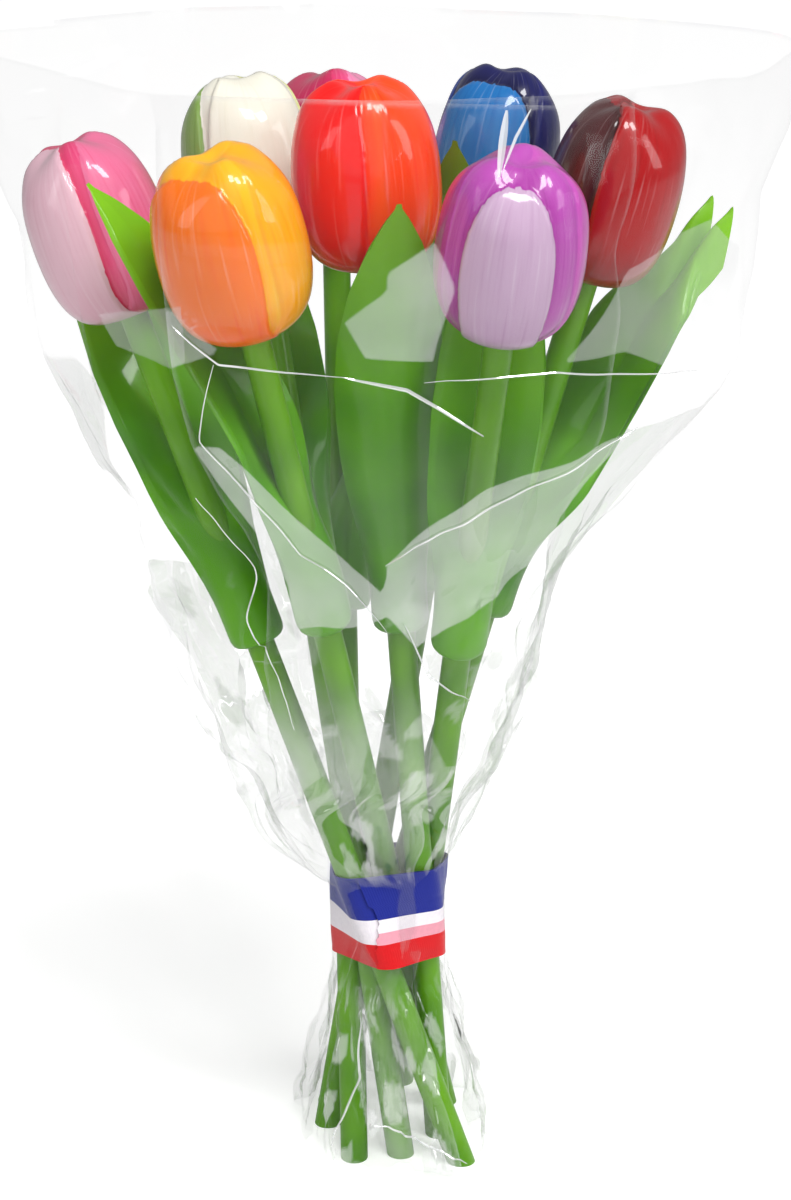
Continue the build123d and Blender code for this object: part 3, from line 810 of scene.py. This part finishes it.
def fold_lines(film):
    """Thin raised strips along the folds, joined to the film, made white by painted reflection."""
    places = read_points(film.data).reshape(-1, FILM_TURN + FILM_LAP + 1, 3) * 1000
    taper = np.sin(np.linspace(0.12, pi - 0.12, FOLD_STEPS)) ** 0.6
    for half, fold in FOLDS:
        fold = np.array(fold, float)
        steps = np.linspace(0, len(fold) - 1, FOLD_STEPS)
        column = np.interp(steps, range(len(fold)), fold[:, 0]) % 1 * FILM_TURN
        level = np.interp(steps, range(len(fold)), fold[:, 1])
        spine = np.empty((FOLD_STEPS, 3))
        for step, (k, z) in enumerate(zip(column, level)):
            line = places[:, int(k)] + (places[:, int(k) + 1] - places[:, int(k)]) * (k % 1)
            spine[step] = [np.interp(z, line[:, 2], line[:, axis]) for axis in range(3)]
        away = spine * (1, 1, 0) / np.linalg.norm(spine[:, :2], axis=1)[:, None]
        run = np.gradient(spine, axis=0)
        across = np.cross(away, run / np.linalg.norm(run, axis=1)[:, None])
        strip, step, row = new_grid("film_fold", FOLD_STEPS - 1, 2)
        sideways = (row - 1) * half * taper[step]
        ridge = 0.5 + 0.25 * (1 - np.abs(row - 1))
        spot = spine[step] + across[step] * sideways[:, None] + away[step] * ridge[:, None]
        write_points(strip.data, spot)
        # The strips get a strong painted reflection and no facets.
        for name, value in (("painted_reflection", 0.6), ("facet_edge", NO_FACET), ("facet_level", 0.0)):
            write_values(strip.data, name, np.full(len(row), value))
        film.select_set(True)
        bpy.context.view_layer.objects.active = film
        bpy.ops.object.join()


# Pieces

# The leaf's lighter tip green is painted light.
LEAF_GREEN = green_enamel("green_leaf_enamel", "#428802", "#62AC06", tip="#7CBE12")
STEM_GREEN = green_enamel("green_stem_enamel", "#4A8606", "#6CAA12")
contents = {}
for name, paints in PAINTS.items():
    head = carve_head(name)
    leaf = carve_leaf(name)
    wood = lacquered_wood(f"{name}_lacquered_wood", *paints)
    finish_piece(head, wood, f"{name}_tulip", f"{name}_painted_wood", f"{name}_tulip_head")
    finish_piece(leaf, LEAF_GREEN, f"{name}_tulip", "green_painted_wood", f"{name}_tulip_leaf")
    contents[name] = [head, leaf]
    stem = frame["nodes"][f"{name}_tulip_stem"]
    stem.data.materials.clear()
    stem.data.materials.append(STEM_GREEN)

ribbon, ribbon_length = wind_ribbon()
finish_piece(ribbon, striped_satin(), "wrap", "striped_ribbon", "tie_ribbon")

film = wrap_film(contents)
fold_lines(film)
finish_piece(film, clear_cellophane(), "wrap", "clear_film", "film_sleeve")


# Floor, light and camera

def seen_directly(tree):
    """1 for what the camera sees, straight or through something clear, and 0 for other light."""
    path = node(tree, "ShaderNodeLightPath").outputs
    return node(tree, "ShaderNodeMath", {0: path["Is Camera Ray"], 1: path["Is Transmission Ray"]},
                operation="MAXIMUM")


def white_floor():
    """White paper sweep: bright to the camera, with the object's soft shadow left on it."""
    made, tree, output = new_material("white_paper_sweep")
    # Fibres about 2.5 mm long.
    place = node(tree, "ShaderNodeTexCoord").outputs["Object"]
    fibre = node(tree, "ShaderNodeTexNoise", {"Vector": place, "Scale": 400.0, "Detail": 2.0}).outputs["Fac"]
    tone = node(tree, "ShaderNodeMixRGB", {
        "Fac": fibre, "Color1": linear("#F4F4F4"), "Color2": linear("#FAFAFA")})
    paper = node(tree, "ShaderNodeBsdfDiffuse", {"Color": tone})
    # Its glow grows with the distance, so that the sweep looks white to its far end.
    reach = node(tree, "ShaderNodeVectorMath", {0: place}, operation="LENGTH").outputs["Value"]
    root = node(tree, "ShaderNodeMath", {0: reach, 1: 0.5}, operation="POWER")
    level = node(tree, "ShaderNodeMath", {0: root, 1: 0.185, 2: 0.375}, operation="MULTIPLY_ADD")
    glow = node(tree, "ShaderNodeEmission", {"Color": linear("#FFFFFF"), "Strength": level})
    both = node(tree, "ShaderNodeAddShader", {0: paper, 1: glow})
    mix = node(tree, "ShaderNodeMixShader", {0: seen_directly(tree), 1: paper, 2: both})
    tree.links.new(mix.outputs["Shader"], output.inputs["Surface"])
    return made


floor = new_primitive(bpy.ops.mesh.primitive_plane_add, "paper_sweep", size=12)
floor.data.materials.append(white_floor())

world = bpy.data.worlds.new("studio")
bpy.context.scene.world = world
world.use_nodes = True
sky = world.node_tree
sky.nodes.clear()
strength = node(sky, "ShaderNodeMapRange", {"Value": seen_directly(sky), "To Min": 0.33, "To Max": 1.0})
background = node(sky, "ShaderNodeBackground", {"Color": linear("#FFFFFF"), "Strength": strength})
node(sky, "ShaderNodeOutputWorld", {"Surface": background})


def softbox(name, place, target, size, power):
    """A rectangular soft light aimed at a target, all in metres."""
    lamp = bpy.data.lights.new(name, "AREA")
    lamp.shape, lamp.size, lamp.size_y, lamp.energy = "RECTANGLE", size[0], size[1], power
    made = bpy.data.objects.new(name, lamp)
    bpy.context.scene.collection.objects.link(made)
    made.location = place
    made.rotation_euler = (Vector(target) - Vector(place)).to_track_quat("-Z", "Y").to_euler()


softbox("key_left_pane", (0.14, -0.52, 1.35), (0, 0, 0.22), (0.26, 0.36), 6.0)
softbox("key_right_pane", (0.50, -0.46, 1.28), (0, 0, 0.22), (0.26, 0.36), 6.0)
softbox("right_softbox", (1.3, -0.5, 0.75), (0, 0, 0.2), (0.5, 0.8), 4.8)
softbox("left_softbox", (-1.4, -0.7, 0.8), (0, 0, 0.2), (0.5, 0.9), 2.8)
softbox("front_softbox", (-0.2, -1.7, 1.1), (0, 0, 0.2), (3.2, 2.2), 13.6)

# Sensor's height in millimetres, and the photograph's focal length and height in pixels.
SENSOR_HEIGHT = 24.0
PHOTO_FOCAL, PHOTO_HEIGHT = 3331, 1200

# The camera stands where the photograph was taken from: 1 m from the bunch, 20.6 degrees above it.
camera = bpy.data.cameras.new("camera")
camera.sensor_fit, camera.sensor_height = "VERTICAL", SENSOR_HEIGHT
camera.lens = SENSOR_HEIGHT * PHOTO_FOCAL / PHOTO_HEIGHT
viewer = bpy.data.objects.new("camera", camera)
bpy.context.scene.collection.objects.link(viewer)
aim = Vector((TIE[0] * 0.001 + 0.0027, TIE[1] * 0.001 - 0.0045, 0.1799))
viewer.location = aim + Vector((0, -0.9358, 0.3527))
viewer.rotation_euler = (aim - viewer.location).to_track_quat("-Z", "Y").to_euler()
bpy.context.scene.camera = viewer
bpy.context.scene.view_settings.view_transform = "Standard"
